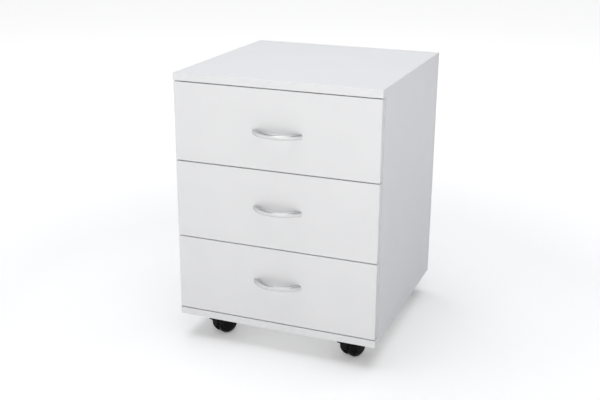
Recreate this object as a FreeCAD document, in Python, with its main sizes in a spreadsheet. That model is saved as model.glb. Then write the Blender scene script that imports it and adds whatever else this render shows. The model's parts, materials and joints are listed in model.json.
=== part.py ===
import FreeCAD, Part

import os
import re

import Sketcher

# Rolling pedestal cabinet, in millimetres.
# +Z is up and the drawers face -Y. The origin is on the floor, at the middle of the whole
# footprint, handles included.

DIMENSIONS = {
    # carcass
    "width": 450, "depth": 450, "carcass_height": 542, "board": 16, "board_edge": 0.8,
    "front_gap": 2, "front_reveal": 1, "front_edge": 1,
    "back_thickness": 4, "back_inset": 10, "groove_depth": 7, "groove_play": 0.2,
    # carcass joints
    "dowel_diameter": 8, "dowel_length": 30, "dowel_in_panel": 12, "dowel_spacing": 32,
    "cam_diameter": 15, "cam_depth": 12.4, "cam_setback": 40, "cam_from_edge": 60,
    "cam_slot": 7.6, "bolt_thread": 5, "bolt_thread_length": 11, "bolt_shank": 6,
    "bolt_head": 7, "bolt_head_length": 3, "bolt_channel": 8,
    # runners and rollers
    "sheet": 1.2, "runner_length": 400, "runner_inset": 2, "runner_rise": 6, "side_space": 13,
    "runner_flange": 10.5,
    "drawer_roller": 18, "cabinet_roller": 20, "roller_width": 6, "roller_space": 2.3,
    "roller_play": 0.3, "roller_from_end": 14, "roller_bore_play": 0.05, "roller_edge": 0.8,
    "roller_pin": 5, "pin_head": 8, "pin_head_length": 0.6,
    "track_overlap": 0.9, "track_width": 9.5, "track_cutback": 28,
    "system_screw": 5, "system_screw_length": 13, "system_head": 8, "system_head_length": 1.2,
    "first_screw": 37, "screw_pitch": 160, "driver_slot": 1, "driver_slot_depth": 0.6,
    # drawers
    "side_height": 118, "side_rise": 8, "side_lip": 14, "side_hem": 8, "side_hem_drop": 12,
    "tab_width": 18, "tab_rise": 22, "box_rear_space": 18.5, "fixing_screw": 3.5,
    "fixing_head": 7, "fixing_head_length": 1.8, "fixing_length": 13,
    # handles
    "handle_reach": 25, "handle_span": 109, "handle_inner_span": 83, "handle_strap": 3.5,
    "handle_height": 11, "handle_edge": 1.4, "handle_centres": 96, "handle_shift": 7,
    "top_handle_lift": -6, "middle_handle_lift": 1, "bottom_handle_lift": 6,
    "handle_screw": 4, "handle_screw_grip": 3.6, "handle_screw_hole": 4,
    "handle_screw_head": 8, "handle_screw_head_length": 2.4,
    # castors
    "castor_height": 55, "castor_across": 305, "front_castor_inset": 41,
    "rear_castor_inset": 54, "castor_heading": -21.5,
    "wheel_radius": 25, "castor_trail": 18, "wheel_width": 17.5, "web_width": 11,
    "wheel_play": 0.4, "wheel_dome": 14.8, "wheel_bead": 0.8,
    "axle_diameter": 6, "axle_length": 36,
    "hood_play": 1, "hood_wall": 1.4, "hood_play_top": 0.4, "boss_diameter": 25,
    "hood_rim_front": 29, "hood_rim_middle": 33, "hood_rim_rear": 38,
    "web_nose_base": 22.5, "web_pin_base": 15, "web_axle_base": 12.5, "web_tail_base": 30,
    "web_tail_top": 42.5, "web_tail": 20, "web_shoulder_top": 48.3, "web_shoulder": 12.5,
    "plate_size": 42, "plate_thickness": 2, "plate_corner": 5, "plate_screws": 32,
    "swivel_pin": 8, "swivel_pin_length": 28, "swivel_play": 0.05,
    "castor_screw": 4, "castor_screw_length": 12, "castor_head": 7.4, "castor_head_length": 1.8,
    "head_rim": 0.1,
}

LEVELS = ("bottom", "middle", "top")
SIDES = {"left": -1, "right": 1}

# Planes and edges of the cabinet, as formulas in the sheet's names.
FACE = "((handle_reach - depth) / 2)"
REAR = "((handle_reach + depth) / 2)"
SIDE_BASE = "(castor_height + board)"
SIDE_TOP = "(castor_height + carcass_height - board)"
SIDE_FRONT = f"({FACE} + board + front_gap)"
INNER = "(width / 2 - board)"
FRONT_HEIGHT = "((carcass_height - 2 * board - 4 * front_gap) / 3)"
BACK_REAR = f"({REAR} - back_inset)"

# Heights above the lower edge of a drawer's front.
TRACK_BASE = "runner_rise"
CHANNEL = "(drawer_roller + 2 * roller_play)"
TRACK_TOP = f"({TRACK_BASE} + 2 * sheet + {CHANNEL})"
GLIDE = f"({TRACK_TOP} + track_overlap)"
DRAWER_ROLLER_AXIS = f"({TRACK_BASE} + sheet + roller_play + drawer_roller / 2)"
CABINET_ROLLER_AXIS = f"({GLIDE} - roller_play - cabinet_roller / 2)"
SIDE_UPPER = "(side_rise + side_height)"

# Distances from the middle plane, and places along the depth.
SIDE_FACE = f"({INNER} - side_space)"
WEB_FACE = f"({INNER} - sheet)"
ROLLER_INNER = f"({SIDE_FACE} + roller_space)"
ROLLER_OUTER = f"({ROLLER_INNER} + roller_width)"
RUNNER_FRONT = f"({SIDE_FRONT} + runner_inset)"
FRONT_BACK = f"({FACE} + board)"
BOX_REAR = f"({BACK_REAR} - back_thickness - box_rear_space)"
CABINET_ROLLER_Y = f"({RUNNER_FRONT} + roller_from_end)"
DRAWER_ROLLER_Y = f"({BOX_REAR} - roller_from_end)"

# The wheel axis of a castor, in the castor's own frame: the swivel axis is its Z axis.
WHEEL_INNER = "(web_width / 2 + wheel_play)"
WHEEL_OUTER = f"({WHEEL_INNER} + wheel_width)"
HOOD_TOP = "(castor_height - plate_thickness - hood_play_top)"

DOC = FreeCAD.newDocument("rolling_pedestal_cabinet")
SHEET = DOC.addObject("Spreadsheet::Sheet", "dims")


def fill_sheet():
    for row, (alias, size) in enumerate(DIMENSIONS.items(), start=1):
        SHEET.set(f"A{row}", str(size))
        SHEET.setAlias(f"A{row}", alias)
    DOC.recompute()


def formula(text):
    """The text with every name of the sheet turned into a reference to its cell."""

    def cell(word):
        return "dims." + word.group() if word.group() in DIMENSIONS else word.group()

    return re.sub(r"[a-z_]+", cell, str(text))


def size(text):
    return float(SHEET.evalExpression(formula(text)))


def bind(item, prop, text):
    item.setExpression(prop, formula(text))


# Sketches and features

def new_body(label):
    body = DOC.addObject("PartDesign::Body", label)
    body.Label = label
    body.AllowCompound = True
    return body


def new_sketch(body, role, level="0", shift="0"):
    """A sketch on an origin plane, moved by level along its normal and by shift along its Y."""
    sketch = body.newObject("Sketcher::SketchObject", body.Label + "_sketch")
    plane = next(item for item in body.Origin.OriginFeatures if item.Role == role)
    sketch.AttachmentSupport = (plane, [""])
    sketch.MapMode = "FlatFace"
    bind(sketch, "AttachmentOffset.Base.z", level)
    bind(sketch, "AttachmentOffset.Base.y", shift)
    return sketch


def place_point(sketch, edge, end, x, y):
    """Fixes one point of an edge at formulas x and y from the sketch's origin."""
    for kind, text in (("DistanceX", x), ("DistanceY", y)):
        index = sketch.addConstraint(Sketcher.Constraint(kind, -1, 1, edge, end, size(text)))
        bind(sketch, f"Constraints[{index}]", text)


def polygon(sketch, corners):
    points = [FreeCAD.Vector(size(x), size(y), 0) for x, y in corners]
    first = sketch.GeometryCount
    for start, end in zip(points, points[1:] + points[:1]):
        sketch.addGeometry(Part.LineSegment(start, end), False)
    for step, (x, y) in enumerate(corners):
        following = first + (step + 1) % len(corners)
        sketch.addConstraint(Sketcher.Constraint("Coincident", first + step, 2, following, 1))
        place_point(sketch, first + step, 1, x, y)


def rectangle(sketch, x_low, x_high, y_low, y_high):
    polygon(sketch, [(x_low, y_low), (x_high, y_low), (x_high, y_high), (x_low, y_high)])


def circle(sketch, x, y, diameter):
    centre = FreeCAD.Vector(size(x), size(y), 0)
    index = sketch.GeometryCount
    normal = FreeCAD.Vector(0, 0, 1)
    sketch.addGeometry(Part.Circle(centre, normal, size(diameter) / 2), False)
    place_point(sketch, index, 3, x, y)
    constraint = sketch.addConstraint(Sketcher.Constraint("Diameter", index, size(diameter)))
    bind(sketch, f"Constraints[{constraint}]", diameter)


def add_feature(body, kind, sketch, length, reverse):
    feature = body.newObject(kind, body.Label + "_" + kind.split("::")[1].lower())
    feature.Profile = sketch
    bind(feature, "Length", length)
    feature.Reversed = reverse
    sketch.Visibility = False
    body.Tip = feature
    return feature


def pad(body, sketch, length, reverse=False):
    """Material from the sketch along its normal. XZ sketches have their normal along -Y."""
    return add_feature(body, "PartDesign::Pad", sketch, length, reverse)


def cut(body, sketch, depth, along_normal=False):
    """A pocket from the sketch against its normal, or along it."""
    return add_feature(body, "PartDesign::Pocket", sketch, depth, along_normal)


def revolve(body, sketch):
    """A solid of revolution about the sketch's horizontal axis."""
    feature = body.newObject("PartDesign::Revolution", body.Label + "_revolution")
    feature.Profile = sketch
    feature.ReferenceAxis = (sketch, ["H_Axis"])
    feature.Angle = 360
    body.Tip = feature
    return feature


def dress_edges(body, kind, prop, amount, chosen):
    """Rounds or bevels the edges of the body's last feature that the test picks."""
    base = body.Tip
    DOC.recompute()
    names = [f"Edge{n}" for n, edge in enumerate(base.Shape.Edges, start=1) if chosen(edge)]
    feature = body.newObject(kind, body.Label + "_edges")
    feature.Base = (base, names)
    bind(feature, prop, amount)
    body.Tip = feature


def round_edges(body, radius, chosen):
    dress_edges(body, "PartDesign::Fillet", "Radius", radius, chosen)


def bevel_edges(body, amount, chosen):
    dress_edges(body, "PartDesign::Chamfer", "Size", amount, chosen)


def is_circle(edge, radius):
    """True for an edge that is an arc or circle of this radius."""
    curve = edge.Curve
    return curve.TypeId == "Part::GeomCircle" and abs(curve.Radius - size(radius)) < 0.01


def slab(label, x_low, x_high, y_low, y_high, z_low, thickness):
    """A flat board or panel."""
    body = new_body(label)
    sketch = new_sketch(body, "XY_Plane", z_low)
    rectangle(sketch, x_low, x_high, y_low, y_high)
    pad(body, sketch, thickness)
    return body


def drill(body, role, level, centres, diameter, depth, along_normal=False):
    """Round holes of one size from a plane into the body."""
    sketch = new_sketch(body, role, level)
    for x, y in centres:
        circle(sketch, x, y, diameter)
    cut(body, sketch, depth, along_normal)


def stand(body, role, level, centres, diameter, length, reverse=False):
    """Round bars of one size standing on a plane."""
    sketch = new_sketch(body, role, level)
    for x, y in centres:
        circle(sketch, x, y, diameter)
    pad(body, sketch, length, reverse)


def slot_heads(body, role, level, centres, length, along_normal=False):
    """A straight screwdriver slot in each head."""
    sketch = new_sketch(body, role, level)
    for x, y in centres:
        rectangle(sketch, f"{x} - {length} / 2", f"{x} + {length} / 2",
                  f"{y} - driver_slot / 2", f"{y} + driver_slot / 2")
    cut(body, sketch, "driver_slot_depth", along_normal)


def front_base(level):
    """Height above the floor of the lower edge of a drawer's front."""
    step = LEVELS.index(level)
    return f"({SIDE_BASE} + front_gap + {step} * ({FRONT_HEIGHT} + front_gap))"


def lift_to_level(body, level):
    """Stands a body that was drawn from its front's lower edge at its drawer's height."""
    bind(body, "Placement.Base.z", front_base(level))


# Places of the carcass fittings

def cam_places():
    """Along the depth: where each joint has its cam."""
    return [f"({SIDE_FRONT} + cam_from_edge)", f"({REAR} - cam_from_edge)"]


def dowel_places():
    """Along the depth: each dowel stands between its cam and the middle of the joint."""
    front, rear = cam_places()
    return [f"({front} + dowel_spacing)", f"({rear} - dowel_spacing)"]


def runner_screw_places():
    return [f"({RUNNER_FRONT} + first_screw + {step} * screw_pitch)" for step in range(3)]


def web_middle(level):
    """Height of a runner's screws above the floor."""
    return f"({front_base(level)} + {DRAWER_ROLLER_AXIS})"


def board_middle(sign):
    """The middle of a side panel's thickness."""
    return f"({sign} * (width - board) / 2)"


def castor_centres():
    half = "castor_across / 2"
    front = f"({FACE} + front_castor_inset)"
    rear = f"({REAR} - rear_castor_inset)"
    return {
        ("front", "left"): (f"(-{half})", front), ("front", "right"): (f"({half})", front),
        ("rear", "left"): (f"(-{half})", rear), ("rear", "right"): (f"({half})", rear),
    }


def castor_screw_centres():
    spread = "plate_screws / 2"
    return [(f"({x} + {i} * {spread})", f"({y} + {j} * {spread})")
            for x, y in castor_centres().values() for i in (-1, 1) for j in (-1, 1)]


# Carcass

def make_top_panel():
    body = slab("top_panel", "-width / 2", "width / 2", FACE, REAR, SIDE_TOP, "board")
    under = size(SIDE_TOP) + 0.01
    round_edges(body, "board_edge", lambda edge: edge.CenterOfMass.z > under)
    joints = [(board_middle(sign), y) for sign in SIDES.values() for y in cam_places()]
    dowels = [(board_middle(sign), y) for sign in SIDES.values() for y in dowel_places()]
    drill(body, "XY_Plane", SIDE_TOP, joints, "bolt_thread", "bolt_thread_length", True)
    drill(body, "XY_Plane", SIDE_TOP, dowels, "dowel_diameter", "dowel_in_panel", True)
    cut_back_groove(body, SIDE_TOP, True)


def make_bottom_panel():
    body = slab("bottom_panel", "-width / 2", "width / 2", FACE, REAR, "castor_height", "board")
    over = size(SIDE_BASE) - 0.01
    round_edges(body, "board_edge", lambda edge: edge.CenterOfMass.z < over)
    joints = [(board_middle(sign), y) for sign in SIDES.values() for y in cam_places()]
    dowels = [(board_middle(sign), y) for sign in SIDES.values() for y in dowel_places()]
    drill(body, "XY_Plane", SIDE_BASE, joints, "bolt_thread", "bolt_thread_length")
    drill(body, "XY_Plane", SIDE_BASE, dowels, "dowel_diameter", "dowel_in_panel")
    cut_back_groove(body, SIDE_BASE, False)
    drill(body, "XY_Plane", "castor_height", castor_screw_centres(), "castor_screw",
          "castor_screw_length", True)


def cut_back_groove(body, level, upwards):
    """The stopped groove that takes the back panel's upper or lower edge."""
    sketch = new_sketch(body, "XY_Plane", level)
    rectangle(sketch, f"-{INNER} - groove_depth", f"{INNER} + groove_depth",
              f"{BACK_REAR} - back_thickness - groove_play", f"{BACK_REAR} + groove_play")
    cut(body, sketch, "groove_depth", upwards)


def make_side_panel(side):
    sign = SIDES[side]
    low, high = (f"{sign} * {INNER}", f"{sign} * width / 2")[::sign]
    body = slab(f"{side}_side_panel", low, high, SIDE_FRONT, REAR, SIDE_BASE,
                f"{SIDE_TOP} - {SIDE_BASE}")
    inner_face = f"{sign} * {INNER}"
    outwards = sign > 0
    cams = [(y, z) for y in cam_places() for z in cam_heights()]
    drill(body, "YZ_Plane", inner_face, cams, "cam_diameter", "cam_depth", outwards)
    screws = [(y, web_middle(level)) for y in runner_screw_places() for level in LEVELS]
    drill(body, "YZ_Plane", inner_face, screws, "system_screw", "system_screw_length", outwards)
    middle = board_middle(sign)
    channels = [(middle, y) for y in cam_places()]
    dowels = [(middle, y) for y in dowel_places()]
    in_side = "dowel_length - dowel_in_panel"
    for level, upwards in ((SIDE_BASE, True), (SIDE_TOP, False)):
        drill(body, "XY_Plane", level, channels, "bolt_channel", "cam_setback", upwards)
        drill(body, "XY_Plane", level, dowels, "dowel_diameter", in_side, upwards)
    groove = new_sketch(body, "XY_Plane", SIDE_TOP)
    ends = (inner_face, f"{inner_face} + {sign} * groove_depth")[::sign]
    rectangle(groove, *ends, f"{BACK_REAR} - back_thickness - groove_play",
              f"{BACK_REAR} + groove_play")
    cut(body, groove, f"{SIDE_TOP} - {SIDE_BASE}")


def make_back_panel():
    reach = "(groove_depth - groove_play)"
    slab("back_panel", f"-{INNER} - {reach}", f"{INNER} + {reach}",
         f"{BACK_REAR} - back_thickness", BACK_REAR, f"{SIDE_BASE} - {reach}",
         f"{SIDE_TOP} - {SIDE_BASE} + 2 * {reach}")


def cam_heights():
    return [f"({SIDE_BASE} + cam_setback)", f"({SIDE_TOP} - cam_setback)"]


def make_wood_dowels():
    body = new_body("wood_dowels")
    places = [(board_middle(sign), y) for sign in SIDES.values() for y in dowel_places()]
    stand(body, "XY_Plane", f"{SIDE_BASE} - dowel_in_panel", places, "dowel_diameter",
          "dowel_length")
    stand(body, "XY_Plane", f"{SIDE_TOP} + dowel_in_panel", places, "dowel_diameter",
          "dowel_length", True)


def make_cam_housings():
    """Eight cams, each with a slot that takes its bolt's head and a screwdriver slot."""
    body = new_body("cam_housings")
    lower, upper = cam_heights()
    for sign in SIDES.values():
        centres = [(y, z) for y in cam_places() for z in (lower, upper)]
        outwards = sign > 0
        stand(body, "YZ_Plane", f"{sign} * {INNER}", centres, "cam_diameter - 0.1",
              "cam_depth", not outwards)
        half_head = "cam_slot / 2"
        sketch = new_sketch(body, "YZ_Plane", f"{board_middle(sign)} - {sign} * {half_head}")
        for y in cam_places():
            for z, outer in ((lower, -1), (upper, 1)):
                ends = (f"{z} - {outer} * bolt_head_length", f"{z} + {outer} * cam_diameter")
                rectangle(sketch, f"{y} - {half_head}", f"{y} + {half_head}", *ends[::outer])
        cut(body, sketch, "cam_depth", outwards)
        slot_heads(body, "YZ_Plane", f"{sign} * {INNER}", centres, "bolt_head", outwards)


def make_cam_bolts():
    """Eight bolts: a thread in the panel, a shank in the side's end and a head in the cam."""
    body = new_body("cam_bolts")
    places = [(board_middle(sign), y) for sign in SIDES.values() for y in cam_places()]
    shank = "(cam_setback - bolt_head_length / 2)"
    for level, downwards in ((SIDE_BASE, True), (SIDE_TOP, False)):
        sign = -1 if downwards else 1
        stand(body, "XY_Plane", level, places, "bolt_thread", "bolt_thread_length", downwards)
        stand(body, "XY_Plane", level, places, "bolt_shank", shank, not downwards)
        stand(body, "XY_Plane", f"{level} - {sign} * {shank}", places, "bolt_head",
              "bolt_head_length", not downwards)


# Runners

def make_cabinet_runner(level, side):
    """A C channel on the cabinet's side, with the pin of its front roller."""
    sign = SIDES[side]
    body = new_body(f"{level}_{side}_cabinet_runner")
    section = new_sketch(body, "XZ_Plane", f"-{RUNNER_FRONT} - runner_length")
    lip = f"{INNER} - runner_flange - sheet"
    outline = [
        (INNER, TRACK_BASE), (INNER, TRACK_TOP),
        (lip, TRACK_TOP), (lip, f"{TRACK_TOP} - sheet"),
        (WEB_FACE, f"{TRACK_TOP} - sheet"), (WEB_FACE, f"{TRACK_BASE} + sheet"),
        (lip, f"{TRACK_BASE} + sheet"), (lip, TRACK_BASE),
    ]
    polygon(section, [(f"{sign} * ({x})", z) for x, z in outline])
    pad(body, section, "runner_length")
    notch = new_sketch(body, "XY_Plane", f"{TRACK_TOP} - sheet")
    ends = (f"{sign} * ({lip} - sheet)", f"{sign} * {WEB_FACE}")[::sign]
    rectangle(notch, *ends, f"{RUNNER_FRONT} - sheet", f"{RUNNER_FRONT} + track_cutback")
    cut(body, notch, "2 * sheet", True)
    screws = [(y, DRAWER_ROLLER_AXIS) for y in runner_screw_places()]
    drill(body, "YZ_Plane", f"{sign} * {WEB_FACE}", screws, "system_screw", "sheet", sign > 0)
    centre = [(CABINET_ROLLER_Y, CABINET_ROLLER_AXIS)]
    pin_length = f"{WEB_FACE} - {ROLLER_INNER}"
    stand(body, "YZ_Plane", f"{sign} * {WEB_FACE}", centre, "roller_pin", pin_length, sign > 0)
    stand(body, "YZ_Plane", f"{sign} * {ROLLER_INNER}", centre, "pin_head",
          "pin_head_length", sign > 0)
    lift_to_level(body, level)


def make_rollers(label, level, y, z, diameter):
    """The coaxial rollers of one drawer's left and right runner."""
    body = new_body(label)
    bore = "(roller_pin + 2 * roller_bore_play)"
    for sign in SIDES.values():
        sketch = new_sketch(body, "YZ_Plane", f"{sign} * {ROLLER_INNER}")
        circle(sketch, y, z, diameter)
        circle(sketch, y, z, bore)
        pad(body, sketch, "roller_width", sign < 0)
    round_edges(body, "roller_edge", lambda edge: is_circle(edge, f"{diameter} / 2"))
    lift_to_level(body, level)


def make_runner_screws():
    body = new_body("runner_screws")
    centres = [(y, web_middle(level)) for y in runner_screw_places() for level in LEVELS]
    for sign in SIDES.values():
        web = f"{sign} * {WEB_FACE}"
        outwards = sign > 0
        stand(body, "YZ_Plane", web, centres, "system_screw", "system_screw_length",
              not outwards)
        stand(body, "YZ_Plane", web, centres, "system_head", "system_head_length", outwards)
        slot_heads(body, "YZ_Plane", f"{web} - {sign} * system_head_length", centres,
                   "system_screw", outwards)


# Drawers

def handle_height_in_front(level):
    """Height of a handle's middle above its front's lower edge."""
    return f"({FRONT_HEIGHT} / 2 + {level}_handle_lift)"


def handle_screw_centres(level):
    return [(f"handle_shift + {sign} * handle_centres / 2", handle_height_in_front(level))
            for sign in SIDES.values()]


def fixing_screw_centres():
    x = f"({SIDE_FACE} - sheet - tab_width / 2)"
    heights = ("(tab_rise + side_rise + tab_width / 2)", f"({SIDE_UPPER} - tab_width)")
    return [(f"{sign} * {x}", z) for sign in SIDES.values() for z in heights]


def make_drawer_front(level):
    half = "(width / 2 - front_reveal)"
    body = slab(f"{level}_drawer_front", f"-{half}", half, FACE, FRONT_BACK, "0", FRONT_HEIGHT)
    round_edges(body, "front_edge", lambda edge: True)
    drill(body, "XZ_Plane", f"-{FRONT_BACK}", handle_screw_centres(level), "handle_screw",
          "board", True)
    drill(body, "XZ_Plane", f"-{FRONT_BACK}", fixing_screw_centres(), "fixing_screw",
          "fixing_length", True)
    lift_to_level(body, level)


def bow_radius(span, reach):
    return f"((({span}) ^ 2 / 4 + ({reach}) ^ 2) / (2 * ({reach})))"


def bow_arc(sketch, span, reach):
    """An arc that leaves the front at both ends of the span and stands out by the reach."""
    half = size(span) / 2
    ends = [FreeCAD.Vector(x, 0, 0) for x in (-half, half)]
    arc = Part.Arc(ends[0], FreeCAD.Vector(0, -size(reach), 0), ends[1])
    index = sketch.addGeometry(arc, False)
    place_point(sketch, index, 3, "0", f"{bow_radius(span, reach)} - ({reach})")
    curve = sketch.Geometry[index]
    first = 1 if curve.StartPoint.distanceToPoint(ends[0]) < 1 else 2
    for end, x in ((first, f"-({span}) / 2"), (3 - first, f"({span}) / 2")):
        constraint = Sketcher.Constraint("DistanceX", -1, 1, index, end, size(x))
        bind(sketch, f"Constraints[{sketch.addConstraint(constraint)}]", x)
    on_front = Sketcher.Constraint("PointOnObject", index, first, -1)
    sketch.addConstraint(on_front)
    return index, first


def make_handle(level):
    """A bow handle, thin in the middle and solid at the feet, where its screws enter."""
    body = new_body(f"{level}_drawer_handle")
    sketch = new_sketch(body, "XY_Plane", "-handle_height / 2")
    outer, outer_left = bow_arc(sketch, "handle_span", "handle_reach")
    inner, inner_left = bow_arc(sketch, "handle_inner_span", "handle_reach - handle_strap")
    for sign, outer_end, inner_end in ((-1, outer_left, inner_left),
                                       (1, 3 - outer_left, 3 - inner_left)):
        start = FreeCAD.Vector(sign * size("handle_span") / 2, 0, 0)
        end = FreeCAD.Vector(sign * size("handle_inner_span") / 2, 0, 0)
        foot = sketch.addGeometry(Part.LineSegment(start, end), False)
        sketch.addConstraint(Sketcher.Constraint("Coincident", foot, 1, outer, outer_end))
        sketch.addConstraint(Sketcher.Constraint("Coincident", foot, 2, inner, inner_end))
    pad(body, sketch, "handle_height")
    bows = (bow_radius("handle_span", "handle_reach"),
            bow_radius("handle_inner_span", "handle_reach - handle_strap"))
    round_edges(body, "handle_edge", lambda edge: any(is_circle(edge, bow) for bow in bows))
    holes = [(f"{sign} * handle_centres / 2", "0") for sign in SIDES.values()]
    drill(body, "XZ_Plane", "0", holes, "handle_screw", "handle_screw_hole", True)
    bind(body, "Placement.Base.x", "handle_shift")
    bind(body, "Placement.Base.y", FACE)
    bind(body, "Placement.Base.z", f"{front_base(level)} + {handle_height_in_front(level)}")


def make_drawer_screws(level):
    """The handle's two screws and the four that hold the front to the steel sides."""
    body = new_body(f"{level}_drawer_screws")
    handle_screws = handle_screw_centres(level)
    stand(body, "XZ_Plane", f"-{FRONT_BACK}", handle_screws, "handle_screw",
          "board + handle_screw_grip")
    stand(body, "XZ_Plane", f"-{FRONT_BACK}", handle_screws, "handle_screw_head",
          "handle_screw_head_length", True)
    tab_back = f"-{FRONT_BACK} - sheet"
    fixings = fixing_screw_centres()
    stand(body, "XZ_Plane", tab_back, fixings, "fixing_screw", "fixing_length")
    stand(body, "XZ_Plane", tab_back, fixings, "fixing_head", "fixing_head_length", True)
    lift_to_level(body, level)


def make_drawer_side(level, side):
    """One bent steel sheet: a lip under the floor, the wall, the track and the hem on top."""
    sign = SIDES[side]
    body = new_body(f"{level}_drawer_{side}_side")
    face = SIDE_FACE
    hem = f"{face} + side_hem"
    outline = [
        (f"{face} - side_lip", "side_rise"), (face, "side_rise"), (face, GLIDE),
        (f"{face} + track_width", GLIDE), (f"{face} + track_width", f"{GLIDE} + sheet"),
        (face, f"{GLIDE} + sheet"), (face, f"{SIDE_UPPER} - sheet"),
        (f"{hem} - sheet", f"{SIDE_UPPER} - sheet"),
        (f"{hem} - sheet", f"{SIDE_UPPER} - side_hem_drop"),
        (hem, f"{SIDE_UPPER} - side_hem_drop"), (hem, SIDE_UPPER),
        (f"{face} - sheet", SIDE_UPPER), (f"{face} - sheet", "side_rise + sheet"),
        (f"{face} - side_lip", "side_rise + sheet"),
    ]
    section = new_sketch(body, "XZ_Plane", f"-{BOX_REAR}")
    polygon(section, [(f"{sign} * ({x})", z) for x, z in outline])
    pad(body, section, f"{BOX_REAR} - {FRONT_BACK}")
    tab = new_sketch(body, "XZ_Plane", f"-{FRONT_BACK} - sheet")
    ends = (f"{sign} * ({face} - sheet - tab_width)", f"{sign} * ({face} - sheet)")[::sign]
    rectangle(tab, *ends, "side_rise + tab_rise", f"{SIDE_UPPER} - tab_width / 2")
    pad(body, tab, "sheet")
    holes = [centre for centre in fixing_screw_centres() if centre[0].startswith(f"{sign} ")]
    drill(body, "XZ_Plane", f"-{FRONT_BACK} - sheet", holes, "fixing_screw", "sheet", True)
    centre = [(DRAWER_ROLLER_Y, DRAWER_ROLLER_AXIS)]
    stand(body, "YZ_Plane", f"{sign} * {face}", centre, "roller_pin",
          f"{ROLLER_OUTER} - {face}", sign < 0)
    stand(body, "YZ_Plane", f"{sign} * {ROLLER_OUTER}", centre, "pin_head",
          "pin_head_length", sign < 0)
    lift_to_level(body, level)


def make_drawer_floor(level):
    half = f"({SIDE_FACE} - sheet)"
    body = slab(f"{level}_drawer_floor", f"-{half}", half, FRONT_BACK, BOX_REAR,
                "side_rise + sheet", "board")
    lift_to_level(body, level)


def make_drawer_back(level):
    half = f"({SIDE_FACE} - sheet)"
    floor_top = "(side_rise + sheet + board)"
    body = slab(f"{level}_drawer_back", f"-{half}", half, f"{BOX_REAR} - board", BOX_REAR,
                floor_top, f"{SIDE_UPPER} - {floor_top} - sheet")
    lift_to_level(body, level)


# Castors: drawn about the swivel axis, then turned to their heading

def make_castor_plates():
    """Four plates with their riveted swivel pins."""
    body = new_body("castor_plates")
    plates = new_sketch(body, "XY_Plane", "castor_height - plate_thickness")
    half = "plate_size / 2"
    for x, y in castor_centres().values():
        rectangle(plates, f"{x} - {half}", f"{x} + {half}", f"{y} - {half}", f"{y} + {half}")
    pad(body, plates, "plate_thickness")
    round_edges(body, "plate_corner", lambda edge: abs(edge.tangentAt(0).z) > 0.9)
    drill(body, "XY_Plane", "castor_height", castor_screw_centres(), "castor_screw",
          "plate_thickness")
    bevel_edges(body, "castor_head_length", lambda edge: is_circle(edge, "castor_screw / 2")
                and edge.CenterOfMass.z < size("castor_height - plate_thickness / 2"))
    stand(body, "XY_Plane", "castor_height - plate_thickness", castor_centres().values(),
          "swivel_pin", "swivel_pin_length", True)


def make_castor_screws():
    body = new_body("castor_screws")
    centres = castor_screw_centres()
    seat = "castor_height - plate_thickness"
    stand(body, "XY_Plane", seat, centres, "castor_head", "castor_head_length")
    bevel_edges(body, "castor_head_length - head_rim", lambda edge:
                edge.CenterOfMass.z > size(f"{seat} + castor_head_length") - 0.01)
    stand(body, "XY_Plane", seat, centres, "castor_screw",
          "plate_thickness + castor_screw_length")
    slot_heads(body, "XY_Plane", seat, centres, "castor_screw", True)


def place_castor(body, end, side):
    x, y = castor_centres()[(end, side)]
    bind(body, "Placement.Base.x", x)
    bind(body, "Placement.Base.y", y)
    turn = FreeCAD.Rotation(FreeCAD.Vector(0, 0, 1), size("castor_heading"))
    body.Placement = FreeCAD.Placement(FreeCAD.Vector(size(x), size(y), 0), turn)
    bind(body, "Placement.Rotation.Angle", "castor_heading")


def make_castor_hood(end, side):
    """A half shell over both wheels, with a web between them that turns on the swivel pin."""
    body = new_body(f"{end}_{side}_castor_hood")
    centre = ("castor_trail", "wheel_radius")
    inner_radius = "(wheel_radius + hood_play)"
    outer_radius = f"({inner_radius} + hood_wall)"
    reach = "2 * wheel_radius"
    shell = new_sketch(body, "YZ_Plane", f"-{WHEEL_OUTER}")
    circle(shell, *centre, f"2 * {outer_radius}")
    circle(shell, *centre, f"2 * {inner_radius}")
    pad(body, shell, f"2 * {WHEEL_OUTER}")
    opening = new_sketch(body, "YZ_Plane", f"-{WHEEL_OUTER} - hood_wall")
    front, rear = f"castor_trail - {reach}", f"castor_trail + {reach}"
    polygon(opening, [
        (front, "-wheel_radius"), (rear, "-wheel_radius"), (rear, "hood_rim_rear"),
        ("castor_trail", "hood_rim_middle"), (front, "hood_rim_front"),
    ])
    cut(body, opening, f"2 * ({WHEEL_OUTER} + hood_wall)", True)
    web = new_sketch(body, "YZ_Plane", "-web_width / 2")
    nose = "-swivel_pin - hood_wall"
    tail = "castor_trail + web_tail"
    polygon(web, [
        (nose, HOOD_TOP), (nose, "web_nose_base"), ("0", "web_pin_base"),
        ("castor_trail", "web_axle_base"), (tail, "web_tail_base"), (tail, "web_tail_top"),
        ("castor_trail + web_shoulder", "web_shoulder_top"),
        ("castor_trail", f"wheel_radius + {outer_radius} - hood_wall / 2"),
        ("castor_trail", HOOD_TOP),
    ])
    pad(body, web, "web_width")
    stand(body, "XY_Plane", HOOD_TOP, [("0", "0")], "boss_diameter",
          f"{HOOD_TOP} - 2 * wheel_radius", True)
    drill(body, "XY_Plane", HOOD_TOP, [("0", "0")], "swivel_pin + 2 * swivel_play",
          "swivel_pin_length")
    drill(body, "YZ_Plane", "-web_width / 2", [centre], "axle_diameter", "web_width", True)
    place_castor(body, end, side)


def make_castor_axle(end, side):
    body = new_body(f"{end}_{side}_castor_axle")
    stand(body, "YZ_Plane", "-axle_length / 2", [("castor_trail", "wheel_radius")],
          "axle_diameter", "axle_length")
    place_castor(body, end, side)


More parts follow.
